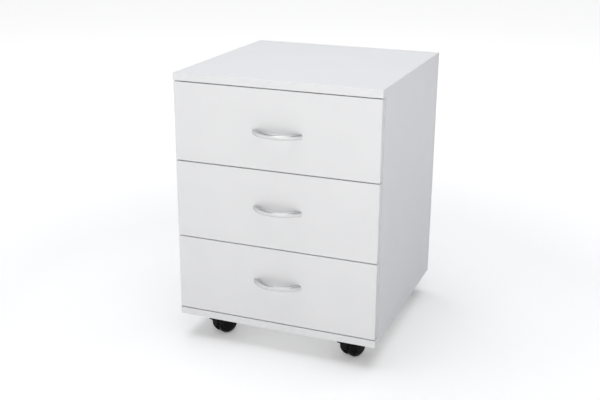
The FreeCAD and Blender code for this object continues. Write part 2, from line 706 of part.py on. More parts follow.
def make_castor_wheel(end, side, wheel):
    """A twin castor's wheel: a narrow tread that domes over to a small outer cap, on a blind bore."""
    sign = SIDES[wheel]
    body = new_body(f"{end}_{side}_castor_{wheel}_wheel")
    sketch = new_sketch(body, "XY_Plane", "wheel_radius", "castor_trail")
    bore = "(axle_diameter / 2 + swivel_play)"
    bore_end = "(axle_length / 2 + wheel_play)"
    outline = [
        (WHEEL_INNER, bore), (WHEEL_INNER, "wheel_radius"), (WHEEL_OUTER, "wheel_radius"),
        (WHEEL_OUTER, "0"), (bore_end, "0"), (bore_end, bore),
    ]
    polygon(sketch, [(f"{sign} * ({x})", radius) for x, radius in outline])
    revolve(body, sketch)
    middle = size(f"({WHEEL_INNER} + {WHEEL_OUTER}) / 2")
    round_edges(body, "wheel_dome", lambda edge: is_circle(edge, "wheel_radius")
                and abs(edge.CenterOfMass.x) > middle)
    round_edges(body, "wheel_bead", lambda edge: is_circle(edge, "wheel_radius")
                and abs(edge.CenterOfMass.x) < size(WHEEL_INNER) + 0.01)
    place_castor(body, end, side)


def build():
    fill_sheet()
    make_top_panel()
    make_bottom_panel()
    make_back_panel()
    for side in SIDES:
        make_side_panel(side)
    make_wood_dowels()
    make_cam_housings()
    make_cam_bolts()
    make_runner_screws()
    for level in LEVELS:
        make_rollers(f"{level}_cabinet_rollers", level, CABINET_ROLLER_Y, CABINET_ROLLER_AXIS,
                     "cabinet_roller")
        make_rollers(f"{level}_drawer_rollers", level, DRAWER_ROLLER_Y, DRAWER_ROLLER_AXIS,
                     "drawer_roller")
        make_drawer_front(level)
        make_handle(level)
        make_drawer_screws(level)
        make_drawer_floor(level)
        make_drawer_back(level)
        for side in SIDES:
            make_cabinet_runner(level, side)
            make_drawer_side(level, side)
    make_castor_plates()
    make_castor_screws()
    for end, side in castor_centres():
        make_castor_hood(end, side)
        make_castor_axle(end, side)
        for wheel in SIDES:
            make_castor_wheel(end, side, wheel)
    DOC.recompute()


def check():
    """Stops on a failed object, a pocket that cuts nothing, or a sub-part that isn't valid."""
    for item in DOC.Objects:
        if "Invalid" in item.State or "Error" in item.State:
            raise RuntimeError(f"{item.Name} failed: {item.State}")
        if item.TypeId == "PartDesign::Pocket":
            if item.Shape.Volume > item.BaseFeature.Shape.Volume - 0.01:
                raise RuntimeError(f"{item.Name} cuts nothing")
    for body in sub_parts():
        if body.Shape.isNull() or not body.Shape.isValid():
            raise RuntimeError(f"{body.Label} has no valid shape")


def sub_parts():
    return [item for item in DOC.Objects if item.TypeId == "PartDesign::Body"]


def export():
    os.makedirs("parts", exist_ok=True)
    for body in sub_parts():
        body.Shape.exportStep(f"parts/{body.Label}.step")
        print(body.Label, len(body.Shape.Solids), "solids", round(body.Shape.Volume), "mm3")


build()
check()
export()
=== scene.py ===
import json
import math

import bmesh
import bpy
from mathutils import Matrix, Vector

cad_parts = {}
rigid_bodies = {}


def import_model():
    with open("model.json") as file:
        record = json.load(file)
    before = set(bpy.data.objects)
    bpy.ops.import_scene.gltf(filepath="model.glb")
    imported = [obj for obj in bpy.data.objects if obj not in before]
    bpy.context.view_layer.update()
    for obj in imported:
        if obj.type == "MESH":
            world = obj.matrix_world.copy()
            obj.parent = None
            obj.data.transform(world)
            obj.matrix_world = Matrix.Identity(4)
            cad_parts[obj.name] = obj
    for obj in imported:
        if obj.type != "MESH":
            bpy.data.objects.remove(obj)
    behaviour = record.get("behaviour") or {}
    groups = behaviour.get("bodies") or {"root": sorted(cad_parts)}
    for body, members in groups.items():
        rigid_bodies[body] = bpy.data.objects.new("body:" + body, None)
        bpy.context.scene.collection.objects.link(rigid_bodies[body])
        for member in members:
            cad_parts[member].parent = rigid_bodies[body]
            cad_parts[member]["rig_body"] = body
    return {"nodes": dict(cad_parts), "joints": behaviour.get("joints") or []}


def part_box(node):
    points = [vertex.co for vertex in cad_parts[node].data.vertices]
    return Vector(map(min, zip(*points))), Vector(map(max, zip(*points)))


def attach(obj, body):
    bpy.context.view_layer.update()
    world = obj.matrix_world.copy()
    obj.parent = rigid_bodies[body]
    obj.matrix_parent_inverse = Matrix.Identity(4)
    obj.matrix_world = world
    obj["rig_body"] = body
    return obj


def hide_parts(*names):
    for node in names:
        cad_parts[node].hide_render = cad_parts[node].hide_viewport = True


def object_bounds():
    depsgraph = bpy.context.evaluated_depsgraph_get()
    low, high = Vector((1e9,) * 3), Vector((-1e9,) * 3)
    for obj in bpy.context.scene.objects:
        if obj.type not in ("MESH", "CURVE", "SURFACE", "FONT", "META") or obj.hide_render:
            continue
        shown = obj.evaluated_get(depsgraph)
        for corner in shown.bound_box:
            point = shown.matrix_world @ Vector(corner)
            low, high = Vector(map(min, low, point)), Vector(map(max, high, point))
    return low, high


# Rolling pedestal cabinet: white melamine-faced board, steel-sided drawers on roller runners,
# satin silver bow handles and black twin-wheel castors. Lengths are metres, +Z is up and the
# drawers face -Y.

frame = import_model()
CAD_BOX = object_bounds()
NODES = frame["nodes"]
MM = 0.001
LEVELS = ("bottom", "middle", "top")
SIDES = {"left": -1, "right": 1}
CASTORS = ("front_left", "front_right", "rear_left", "rear_right")
X, Y, Z = 0, 1, 2


# Materials: node helpers

def link(tree, value, socket):
    """Sets a socket to a plain value, or joins it to another node's output."""
    if isinstance(value, bpy.types.NodeSocket):
        tree.links.new(value, socket)
    else:
        socket.default_value = value


def add_node(tree, kind, inputs=(), **settings):
    made = tree.nodes.new("ShaderNode" + kind)
    for name, value in settings.items():
        setattr(made, name, value)
    for name, value in dict(inputs).items():
        link(tree, value, made.inputs[name])
    return made


def start_material(name, **plain):
    """A material with one Principled shader, with its uniform numbers set on its sockets."""
    material = bpy.data.materials.new(name)
    material.use_nodes = True
    tree = material.node_tree
    tree.nodes.clear()
    shader = add_node(tree, "BsdfPrincipled")
    output = add_node(tree, "OutputMaterial")
    tree.links.new(shader.outputs["BSDF"], output.inputs["Surface"])
    for socket, value in plain.items():
        shader.inputs[socket.replace("_", " ")].default_value = value
    return material, tree, shader


def grey(level):
    return (level, level, level, 1)


def place(tree, scale=(1, 1, 1)):
    """The object's own coordinates, in metres, stretched by the scale."""
    coordinates = add_node(tree, "TexCoord").outputs["Object"]
    return add_node(tree, "Mapping", {"Vector": coordinates, "Scale": scale}).outputs["Vector"]


def noise(tree, vector, scale, detail=2.0, roughness=0.5):
    return add_node(tree, "TexNoise", {"Vector": vector, "Scale": scale, "Detail": detail,
                                       "Roughness": roughness}).outputs["Fac"]


def math_node(tree, operation, first, second=0.0):
    made = add_node(tree, "Math", operation=operation)
    link(tree, first, made.inputs[0])
    link(tree, second, made.inputs[1])
    return made.outputs["Value"]


def spread(tree, value, low, high, start=0.0, end=1.0):
    """The value, mapped from low..high to start..end and held there."""
    return add_node(tree, "MapRange", {"Value": value, "From Min": low, "From Max": high,
                                       "To Min": start, "To Max": end}).outputs["Result"]


def blend_colours(tree, amount, first, second):
    made = add_node(tree, "Mix", data_type="RGBA")
    link(tree, amount, made.inputs["Factor"])
    colours = [socket for socket in made.inputs if socket.type == "RGBA"]
    link(tree, first, colours[0])
    link(tree, second, colours[1])
    return next(socket for socket in made.outputs if socket.type == "RGBA")


def filter_colour(tree, colour, tint):
    """The colour, multiplied channel by channel by a plain tint."""
    made = add_node(tree, "VectorMath", {0: colour, 1: tint}, operation="MULTIPLY")
    return made.outputs["Vector"]


def bump(tree, shader, height, strength, distance):
    """Adds relief to the shader, distance being the relief's full depth in metres."""
    previous = shader.inputs["Normal"]
    inputs = {"Height": height, "Strength": strength, "Distance": distance}
    if previous.is_linked:
        inputs["Normal"] = previous.links[0].from_socket
    tree.links.new(add_node(tree, "Bump", inputs).outputs["Normal"], previous)


# Materials: one function each

WHITE_BOARD = ((0.800, 0.802, 0.806, 1), (0.785, 0.788, 0.793, 1))
# painted shade: the tint that darkens and cools every board face turned sideways
PAINTED_SIDE_SHADE = (0.938, 0.946, 0.962)
SEAM_COLOUR = (0.60, 0.60, 0.59, 1)
BAND_THICKNESS, SEAM_WIDTH, SEAM_STRENGTH = 1.0 * MM, 0.10 * MM, 0.5


def make_board_material(name, box, thin_axis, raw=()):
    """White melamine-faced chipboard with ABS edge bands, laid out on the board's own box.

    The faces that look sideways get a painted shade, a little darker and cooler, standing in for
    the shade on the cabinet's side.
    """
    low, high = box
    material, tree, shader = start_material(name, Specular_IOR_Level=0.42, IOR=1.5)
    vector = place(tree)
    parts = add_node(tree, "SeparateXYZ", {"Vector": vector})
    axes = [parts.outputs[axis] for axis in "XYZ"]
    cloud = noise(tree, vector, 14, detail=3)
    colour = blend_colours(tree, spread(tree, cloud, 0.3, 0.7), *WHITE_BOARD)
    # painted shade on the faces turned to +X or -X, in place of the light falling off on the
    # cabinet's side
    sideways = facing_mask(tree, ((X, 1), (X, -1)))
    colour = blend_colours(tree, sideways, colour, filter_colour(tree, colour, PAINTED_SIDE_SHADE))
    seam = band_seam(tree, axes, low, high, thin_axis)
    colour = blend_colours(tree, seam, colour, SEAM_COLOUR)
    if raw:
        colour = add_raw_edges(tree, vector, colour, raw)
    link(tree, colour, shader.inputs["Base Color"])
    fine = noise(tree, vector, 1500, detail=3, roughness=0.6)
    pearl = noise(tree, vector, 420, detail=1)
    link(tree, spread(tree, fine, 0.25, 0.75, 0.34, 0.46), shader.inputs["Roughness"])
    bump(tree, shader, fine, 0.30, 0.00004)
    bump(tree, shader, pearl, 0.35, 0.00006)
    return material


def band_seam(tree, axes, low, high, thin_axis):
    """The hairline where a band meets the board's face, a band's thickness from the edge."""
    seam = 0.0
    for axis in (X, Y, Z):
        if axis == thin_axis:
            continue
        from_low = math_node(tree, "SUBTRACT", axes[axis], low[axis])
        from_high = math_node(tree, "SUBTRACT", high[axis], axes[axis])
        nearest = math_node(tree, "MINIMUM", from_low, from_high)
        away = math_node(tree, "ABSOLUTE",
                         math_node(tree, "SUBTRACT", nearest, BAND_THICKNESS))
        line = spread(tree, away, 0.4 * SEAM_WIDTH, SEAM_WIDTH, 1.0, 0.0)
        seam = math_node(tree, "MAXIMUM", seam, line)
    return math_node(tree, "MULTIPLY", seam, SEAM_STRENGTH)


def facing_mask(tree, directions):
    """1 where the surface faces one of the (axis, sign) directions."""
    normal = add_node(tree, "TexCoord").outputs["Normal"]
    facing = add_node(tree, "SeparateXYZ", {"Vector": normal})
    mask = 0.0
    for axis, sign in directions:
        along = math_node(tree, "MULTIPLY", facing.outputs["XYZ"[axis]], sign)
        mask = math_node(tree, "MAXIMUM", mask, spread(tree, along, 0.9, 0.95))
    return mask


def add_raw_edges(tree, vector, colour, raw):
    """Bare chipboard where the surface faces one of the raw (axis, sign) directions."""
    mask = facing_mask(tree, raw)
    chips = add_node(tree, "TexVoronoi", {"Vector": vector, "Scale": 700.0}).outputs["Color"]
    tone = add_node(tree, "SeparateColor", {"Color": chips}).outputs["Red"]
    wood = blend_colours(tree, tone, (0.42, 0.29, 0.17, 1), (0.66, 0.52, 0.36, 1))
    return blend_colours(tree, mask, colour, wood)


def make_hardboard():
    """Thin fibreboard with a white lacquered face."""
    material, tree, shader = start_material("white_hardboard", Specular_IOR_Level=0.35)
    vector = place(tree)
    fibre = noise(tree, place(tree, (1, 1, 2.5)), 260, detail=6, roughness=0.65)
    colour = blend_colours(tree, spread(tree, fibre, 0.35, 0.65), (0.80, 0.80, 0.79, 1),
                           (0.765, 0.765, 0.755, 1))
    link(tree, colour, shader.inputs["Base Color"])
    link(tree, spread(tree, fibre, 0.3, 0.7, 0.42, 0.55), shader.inputs["Roughness"])
    bump(tree, shader, noise(tree, vector, 900, detail=3), 0.4, 0.00008)
    return material


def make_white_steel():
    """Epoxy powder coat: a soft orange peel and a slight gloss."""
    material, tree, shader = start_material("white_steel", Specular_IOR_Level=0.5,
                                            Coat_Weight=0.15, Coat_Roughness=0.25)
    vector = place(tree)
    peel = noise(tree, vector, 700, detail=1.5)
    tone = noise(tree, vector, 30, detail=2)
    colour = blend_colours(tree, spread(tree, tone, 0.3, 0.7), (0.79, 0.79, 0.785, 1),
                           (0.76, 0.76, 0.755, 1))
    link(tree, colour, shader.inputs["Base Color"])
    link(tree, spread(tree, peel, 0.3, 0.7, 0.33, 0.42), shader.inputs["Roughness"])
    bump(tree, shader, peel, 0.45, 0.00012)
    return material


def make_zinc():
    """Zinc-plated steel: cloudy plating with fine drawing lines."""
    material, tree, shader = start_material("zinc_steel", Metallic=1.0)
    vector = place(tree)
    cells = add_node(tree, "TexVoronoi", {"Vector": vector, "Scale": 240.0}).outputs["Color"]
    tone = add_node(tree, "SeparateColor", {"Color": cells}).outputs["Red"]
    colour = blend_colours(tree, tone, (0.60, 0.61, 0.62, 1), (0.70, 0.71, 0.72, 1))
    link(tree, colour, shader.inputs["Base Color"])
    fine = noise(tree, vector, 1800, detail=3)
    link(tree, spread(tree, fine, 0.25, 0.75, 0.26, 0.42), shader.inputs["Roughness"])
    bump(tree, shader, fine, 0.3, 0.00004)
    return material


def make_satin_silver():
    """Silver lacquer over cast metal: brushed along the bow and lightly speckled."""
    material, tree, shader = start_material("satin_silver", Metallic=1.0, Coat_Weight=0.2,
                                            Coat_Roughness=0.2)
    vector = place(tree)
    lines = noise(tree, place(tree, (0.06, 0.06, 1)), 5200, detail=2)
    flake = noise(tree, vector, 2600, detail=1)
    colour = blend_colours(tree, spread(tree, flake, 0.3, 0.7), (0.60, 0.605, 0.61, 1),
                           (0.67, 0.672, 0.675, 1))
    link(tree, colour, shader.inputs["Base Color"])
    link(tree, spread(tree, lines, 0.25, 0.75, 0.24, 0.36), shader.inputs["Roughness"])
    bump(tree, shader, lines, 0.25, 0.00002)
    return material


def make_black_plastic(name, shade, rough_low, rough_high, dust):
    """Moulded nylon: fine spark texture, faint flow clouds and a little pale dust."""
    material, tree, shader = start_material(name, Specular_IOR_Level=0.10)
    vector = place(tree)
    spark = noise(tree, vector, 1700, detail=2)
    cloud = noise(tree, vector, 90, detail=4, roughness=0.6)
    colour = blend_colours(tree, spread(tree, cloud, 0.5, 0.8, 0.0, dust), grey(shade),
                           (0.035, 0.034, 0.032, 1))
    link(tree, colour, shader.inputs["Base Color"])
    link(tree, spread(tree, cloud, 0.3, 0.7, rough_low, rough_high), shader.inputs["Roughness"])
    bump(tree, shader, spark, 0.3, 0.00005)
    return material


def make_nylon():
    """White moulded rollers, a little waxy."""
    material, tree, shader = start_material("white_nylon", Subsurface_Weight=0.15,
                                            Subsurface_Scale=0.002)
    vector = place(tree)
    cloud = noise(tree, vector, 160, detail=3)
    colour = blend_colours(tree, spread(tree, cloud, 0.3, 0.7), (0.80, 0.79, 0.75, 1),
                           (0.74, 0.73, 0.69, 1))
    link(tree, colour, shader.inputs["Base Color"])
    link(tree, spread(tree, cloud, 0.3, 0.7, 0.38, 0.5), shader.inputs["Roughness"])
    bump(tree, shader, noise(tree, vector, 1500, detail=2), 0.3, 0.00005)
    return material


def make_beech():
    """Turned beech dowels: straight grain with short dark flecks."""
    material, tree, shader = start_material("beech")
    grain = noise(tree, place(tree, (1, 1, 0.06)), 900, detail=4)
    flecks = noise(tree, place(tree, (1, 1, 0.25)), 1600, detail=1)
    colour = blend_colours(tree, spread(tree, grain, 0.3, 0.7), (0.60, 0.40, 0.23, 1),
                           (0.72, 0.53, 0.34, 1))
    colour = blend_colours(tree, spread(tree, flecks, 0.62, 0.7, 0.0, 0.5), colour,
                           (0.36, 0.21, 0.11, 1))
    link(tree, colour, shader.inputs["Base Color"])
    link(tree, spread(tree, grain, 0.3, 0.7, 0.5, 0.65), shader.inputs["Roughness"])
    bump(tree, shader, grain, 0.3, 0.00010)
    return material


FLOOR_GLOW_REACH = (0.75, 2.2)
FLOOR_GLOW = (0.19, 0.80)


def make_floor_material():
    """A pale floor that glows a little, more so away from the middle."""
    material, tree, shader = start_material("studio_floor", Roughness=0.85,
                                            Specular_IOR_Level=0.1, Emission_Color=grey(1.0))
    cloud = noise(tree, place(tree), 3, detail=3)
    colour = blend_colours(tree, spread(tree, cloud, 0.3, 0.7), grey(0.985), grey(0.975))
    link(tree, colour, shader.inputs["Base Color"])
    away = add_node(tree, "VectorMath", {0: place(tree)}, operation="LENGTH").outputs["Value"]
    glow = spread(tree, away, *FLOOR_GLOW_REACH, *FLOOR_GLOW)
    link(tree, glow, shader.inputs["Emission Strength"])
    return material


def set_material(node, material):
    for slot in NODES[node].material_slots:
        slot.material = material


ZINC = make_zinc()
WHITE_STEEL = make_white_steel()
NYLON = make_nylon()
SILVER = make_satin_silver()
BLACK_HOOD = make_black_plastic("black_hood", 0.003, 0.20, 0.30, 0.10)
BLACK_WHEEL = make_black_plastic("black_wheel", 0.002, 0.24, 0.36, 0.15)
BEECH = make_beech()
HARDBOARD = make_hardboard()


def dress_boards():
    for node in ("top_panel", "bottom_panel"):
        set_material(node, make_board_material("board_" + node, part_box(node), Z))
    for side in SIDES:
        make_side_panel(side)
    set_material("back_panel", HARDBOARD)
    for level in LEVELS:
        for part, thin_axis, raw in (("front", Y, ()), ("floor", Z, ((X, 1), (X, -1), (Y, 1))),
                                     ("back", Y, ((X, 1), (X, -1)))):
            node = f"{level}_drawer_{part}"
            material = make_board_material("board_" + node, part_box(node), thin_axis, raw)
            set_material(node, material)


FRONT_REST = 0.5 * MM
BAND_ZONE = 1.5 * MM


def make_side_panel(side):
    """The side panel with its front band brought up close behind the closed fronts."""
    node = side + "_side_panel"
    low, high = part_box(node)
    reach = low.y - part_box("top_drawer_front")[1].y - FRONT_REST
    box = (low - Vector((0, reach, 0)), high)
    bm = bmesh.new()
    bm.from_mesh(NODES[node].data)
    bmesh.ops.remove_doubles(bm, verts=bm.verts, dist=1e-6)
    for vertex in bm.verts:
        if vertex.co.y < low.y + BAND_ZONE:
            vertex.co.y -= reach
    material = make_board_material("board_" + node, box, X)
    add_piece(bm, node, material, smooth_angle=30)


def dress_fittings():
    for node in ("cam_housings", "cam_bolts", "castor_plates"):
        set_material(node, ZINC)
    for castor in CASTORS:
        set_material(castor + "_castor_axle", ZINC)
    for level in LEVELS:
        for side in SIDES:
            set_material(f"{level}_{side}_cabinet_runner", WHITE_STEEL)
    set_material("wood_dowels", BEECH)


# Mesh helpers

def add_piece(mesh_source, node, material, smooth_angle=38):
    """A piece that takes the place of a CAD node, on that node's body."""
    mesh = bpy.data.meshes.new(node + "_detailed")
    bmesh.ops.recalc_face_normals(mesh_source, faces=mesh_source.faces)
    mesh_source.to_mesh(mesh)
    mesh_source.free()
    mesh.materials.append(material)
    mesh.shade_smooth()
    mesh.set_sharp_from_angle(angle=math.radians(smooth_angle))
    piece = bpy.data.objects.new(node + "_detailed", mesh)
    bpy.context.scene.collection.objects.link(piece)
    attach(piece, NODES[node]["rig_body"])
    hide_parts(node)
    return piece


def add_ring(bm, points):
    return [bm.verts.new(point) for point in points]


def join_rings(bm, first, second):
    """Faces between two rings of the same count; a ring of one point closes to a tip."""
    count = max(len(first), len(second))
    for step in range(count):
        following = (step + 1) % count
        corners = [first[step % len(first)], first[following % len(first)],
                   second[following % len(second)], second[step % len(second)]]
        bm.faces.new(list(dict.fromkeys(corners)))


def lathe(bm, profile, matrix, steps=64, closed=False):
    """Turns (distance along, radius) points about the matrix's Z axis."""
    turns = [2 * math.pi * step / steps for step in range(steps)]
    rings = []
    for along, radius in profile:
        if radius == 0:
            rings.append(add_ring(bm, [matrix @ Vector((0, 0, along))]))
            continue
        rings.append(add_ring(bm, [matrix @ Vector((radius * math.cos(turn),
                                                    radius * math.sin(turn), along))
                                   for turn in turns]))
    for first, second in zip(rings, rings[1:]):
        join_rings(bm, first, second)
    if closed:
        join_rings(bm, rings[-1], rings[0])


def prism(bm, outline, matrix, length):
    """A closed outline in the matrix's XY plane, drawn out along its Z axis."""
    ends = [add_ring(bm, [matrix @ Vector((x, y, z)) for x, y in outline])
            for z in (0.0, length)]
    join_rings(bm, *ends)
    bm.faces.new(ends[0])
    bm.faces.new(ends[1])


def arc(centre, radius, start, end, steps):
    """Points on an arc, angles in degrees."""
    return [(centre[0] + radius * math.cos(math.radians(start + (end - start) * step / steps)),
             centre[1] + radius * math.sin(math.radians(start + (end - start) * step / steps)))
            for step in range(steps + 1)]


def rounded(corners, steps=4):
    """A closed outline from (x, y, radius) corners, each turned into an arc."""
    outline = []
    for index, (x, y, radius) in enumerate(corners):
        corner = Vector((x, y))
        before = Vector(corners[index - 1][:2]) - corner
        after = Vector(corners[(index + 1) % len(corners)][:2]) - corner
        half = before.angle(after) / 2
        reach = min(radius / math.tan(half), 0.48 * before.length, 0.48 * after.length)
        centre = corner + (before.normalized() + after.normalized()).normalized() * (
            reach / math.cos(half))
        spokes = [corner + side.normalized() * reach - centre for side in (before, after)]
        turn = spokes[0].angle_signed(spokes[1])
        for step in range(steps + 1):
            spoke = spokes[0].copy()
            spoke.rotate(Matrix.Rotation(-turn * step / steps, 2))
            outline.append(tuple(centre + spoke))
    return outline


def axis_frame(origin, along):
    """A matrix whose Z axis runs along the direction, standing at the origin."""
    return Matrix.Translation(origin) @ Vector(along).to_track_quat("Z", "Y").to_matrix().to_4x4()


def islands(node):
    """The box of each separate solid of a CAD node."""
    bm = bmesh.new()
    bm.from_mesh(NODES[node].data)
    bmesh.ops.remove_doubles(bm, verts=bm.verts, dist=1e-6)
    left = set(bm.verts)
    boxes = []
    while left:
        group, edge = set(), [left.pop()]
        while edge:
            vertex = edge.pop()
            group.add(vertex)
            near = {end for line in vertex.link_edges for end in line.verts} & left
            left -= near
            edge.extend(near)
        low = Vector([min(vertex.co[axis] for vertex in group) for axis in (X, Y, Z)])
        high = Vector([max(vertex.co[axis] for vertex in group) for axis in (X, Y, Z)])
        boxes.append((low, high))
    bm.free()
    return sorted(boxes, key=lambda box: tuple(round(value, 4) for value in box[0]))


# Handles

HANDLE_FOOT = 13.0 * MM
HANDLE_STRAP = 3.5 * MM
HANDLE_CROWN = 2.3 * MM
HANDLE_CORNER = 0.9 * MM
HANDLE_STATIONS = 56


def bow(span, reach):
    """Radius and half angle of an arc with this span that stands out by this reach."""
    radius = (span ** 2 / 4 + reach ** 2) / (2 * reach)
    return radius, math.asin(span / 2 / radius)


def handle_section(thickness, height):
    """Outline from the inner face, w = 0, to the crowned outer face, w = thickness."""
    half = height / 2
    outline = []
    for angle in range(-90, 91, 15):
        drop = HANDLE_CROWN * (1 - math.cos(math.radians(angle)))
        outline.append((thickness - drop, half * math.sin(math.radians(angle))))
    outline += arc((HANDLE_CORNER, half - HANDLE_CORNER), HANDLE_CORNER, 90, 180, 4)
    outline += arc((HANDLE_CORNER, HANDLE_CORNER - half), HANDLE_CORNER, 180, 270, 4)
    return outline


def make_handle(level):
    """A cast bow, thin in the middle and solid at its feet, with a crowned grip."""
    node = level + "_drawer_handle"
    low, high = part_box(node)
    span, reach, height = high.x - low.x, high.y - low.y, high.z - low.z
    outer_radius, outer_angle = bow(span, reach)
    inner_radius, inner_angle = bow(span - 2 * HANDLE_FOOT, reach - HANDLE_STRAP)
    foot = Vector(((low.x + high.x) / 2, high.y, (low.z + high.z) / 2))
    bm = bmesh.new()
    rings = []
    for station in range(HANDLE_STATIONS + 1):
        share = 2 * station / HANDLE_STATIONS - 1
        inner = arc_point(inner_radius, inner_angle * share, reach - HANDLE_STRAP)
        outer = arc_point(outer_radius, outer_angle * share, reach)
        across = (outer - inner).normalized()
        section = handle_section((outer - inner).length, height)
        rings.append(add_ring(bm, [foot + inner + across * w + Vector((0, 0, z))
                                   for w, z in section]))
    for first, second in zip(rings, rings[1:]):
        join_rings(bm, first, second)
    bm.faces.new(rings[0])
    bm.faces.new(rings[-1])
    add_piece(bm, node, SILVER)


def arc_point(radius, angle, reach):
    """A point of a bow, from the middle of the line between its feet."""
    return Vector((radius * math.sin(angle), radius - reach - radius * math.cos(angle), 0))


# Castors

WHEEL_GAP = 5.9 * MM
WHEEL_WIDTH = 17.5 * MM
WHEEL_DOME = 14.8 * MM
WHEEL_BORE, BORE_END = 3.05 * MM, 18.4 * MM
WHEEL_HUB = 7.5 * MM
WHEEL_BEAD = 0.5 * MM
INNER_DISH = 2.2 * MM
PARTING_ANGLES, PARTING_DEPTH = (54, 56), 0.35 * MM
CAP_GROOVE = 0.25 * MM
HOOD_GAP, HOOD_WALL, HOOD_HALF_WIDTH = 1.0 * MM, 1.4 * MM, 23.4 * MM
HOOD_FRONT_RIM, HOOD_REAR_RIM, HOOD_STEPS = 167.5, 23.0, 40
HALF_WEB, WEB_BEVEL = 5.5 * MM, 0.7 * MM
PIN_HOLE, BOSS_RADIUS, BOSS_HEIGHT = 4.05 * MM, 12.5 * MM, 2.6 * MM


def castor_joint(name):
    return next(joint for joint in frame["joints"] if joint["name"] == name)


def make_castor_wheel(castor, side):
    """A domed wheel: rounded tread, parting line, dished inner face and a raised hub cap."""
    node = f"{castor}_castor_{side}_wheel"
    joint = castor_joint(node + "_spin")
    centre = Vector(joint["pos_m"])
    radius = centre.z
    sign = SIDES[side]
    matrix = axis_frame(centre, Vector(joint["axis"]) * sign)
    outer = WHEEL_GAP + WHEEL_WIDTH
    shoulder = outer - WHEEL_DOME
    cap = radius - WHEEL_DOME
    dish = WHEEL_GAP + INNER_DISH
    profile = [(BORE_END, 0), (BORE_END, WHEEL_BORE), (WHEEL_GAP, WHEEL_BORE),
               (WHEEL_GAP, WHEEL_HUB), (dish, WHEEL_HUB + 0.8 * MM), (dish, radius - 3.4 * MM),
               (WHEEL_GAP, radius - 2.6 * MM), (WHEEL_GAP, radius - WHEEL_BEAD)]
    profile += arc((WHEEL_GAP + WHEEL_BEAD, radius - WHEEL_BEAD), WHEEL_BEAD, 180, 90, 5)[1:]
    for angle in range(90, 1, -4):
        away = WHEEL_DOME
        if PARTING_ANGLES[0] <= angle <= PARTING_ANGLES[1]:
            away -= PARTING_DEPTH
        profile.append((shoulder + away * math.cos(math.radians(angle)),
                        cap + away * math.sin(math.radians(angle))))
    groove = outer - CAP_GROOVE
    profile += [(outer, cap), (outer, cap - 0.9 * MM), (groove, cap - 1.3 * MM),
                (groove, cap - 2.1 * MM), (outer, cap - 2.6 * MM),
                (outer + 0.15 * MM, cap - 5 * MM), (outer + 0.2 * MM, 0)]
    bm = bmesh.new()
    lathe(bm, profile, matrix, steps=96)
    add_piece(bm, node, BLACK_WHEEL, smooth_angle=32)


def make_castor_hood(castor):
    """A moulded hood: a curved band over both wheels, and a web on the swivel pin."""
    node = castor + "_castor_hood"
    swivel = Vector(castor_joint(castor + "_castor_swivel")["pos_m"])
    spin = castor_joint(castor + "_castor_left_wheel_spin")
    centre, across = Vector(spin["pos_m"]), Vector(spin["axis"])
    trail = Vector((centre.x - swivel.x, centre.y - swivel.y, 0))
    rearwards = trail.normalized()
    radius = centre.z
    frame_at = Matrix.Identity(4)
    for column, direction in enumerate((rearwards, Vector((0, 0, 1)), across)):
        frame_at.col[column][:3] = direction
    frame_at.translation = centre
    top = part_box(node)[1].z - radius
    inner = radius + HOOD_GAP
    outer = inner + HOOD_WALL
    inner_edge, outer_edge = 0.3 * MM, 0.65 * MM
    section = rounded([(-HOOD_HALF_WIDTH, inner, inner_edge),
                       (HOOD_HALF_WIDTH, inner, inner_edge),
                       (HOOD_HALF_WIDTH, outer, outer_edge),
                       (-HOOD_HALF_WIDTH, outer, outer_edge)])
    bm = bmesh.new()
    rings = []
    for step in range(HOOD_STEPS + 1):
        share = step / HOOD_STEPS
        angle = math.radians(HOOD_FRONT_RIM + (HOOD_REAR_RIM - HOOD_FRONT_RIM) * share)
        spoke = Vector((math.cos(angle), math.sin(angle), 0))
        rings.append(add_ring(bm, [frame_at @ (spoke * r + Vector((0, 0, x)))
                                   for x, r in section]))
    for first, second in zip(rings, rings[1:]):
        join_rings(bm, first, second)
    bm.faces.new(rings[0])
    bm.faces.new(rings[-1])
    pin = -trail.length
    web = [(pin - 9.4 * MM, top, 1.0 * MM), (pin - 9.4 * MM, -2.5 * MM, 2.5 * MM),
           (pin, -10 * MM, 4 * MM), (0, -12.5 * MM, 6 * MM), (20 * MM, 5 * MM, 4 * MM),
           (20 * MM, 17.5 * MM, 1 * MM), (12.5 * MM, 23.3 * MM, 3 * MM), (0, 26.7 * MM, 2 * MM),
           (-1 * MM, top, 1.0 * MM)]
    bevelled_prism(bm, rounded(web), frame_at @ Matrix.Translation((0, 0, -HALF_WEB)),
                   2 * HALF_WEB, WEB_BEVEL)
    boss_bevel = 0.4 * MM
    boss = [(0, BOSS_RADIUS), (BOSS_HEIGHT - boss_bevel, BOSS_RADIUS),
            (BOSS_HEIGHT, BOSS_RADIUS - boss_bevel), (BOSS_HEIGHT, PIN_HOLE), (0, PIN_HOLE)]
    boss_at = Matrix.Translation((swivel.x, swivel.y, radius + top - BOSS_HEIGHT))
    lathe(bm, boss, boss_at, steps=48, closed=True)
    add_piece(bm, node, BLACK_HOOD)


def bevelled_prism(bm, outline, matrix, length, bevel):
    """A prism whose two end faces have a small bevel all round."""
    inset = shrink(outline, bevel)
    levels = ((0.0, inset), (bevel, outline), (length - bevel, outline), (length, inset))
    rings = [add_ring(bm, [matrix @ Vector((x, y, z)) for x, y in points])
             for z, points in levels]
    for first, second in zip(rings, rings[1:]):
        join_rings(bm, first, second)
    bm.faces.new(rings[0])
    bm.faces.new(rings[-1])


def shrink(outline, amount):
    """The outline moved inwards along its corners' bisectors."""
    middle = sum((Vector(point) for point in outline), Vector((0, 0))) / len(outline)
    moved = []
    for index, point in enumerate(outline):
        before, after = Vector(outline[index - 1]), Vector(outline[(index + 1) % len(outline)])
        along = (after - before).normalized()
        inwards = Vector((-along.y, along.x))
        if inwards.dot(middle - Vector(point)) < 0:
            inwards = -inwards
        moved.append(tuple(Vector(point) + inwards * amount))
    return moved


# Drawer sides, rollers and screws

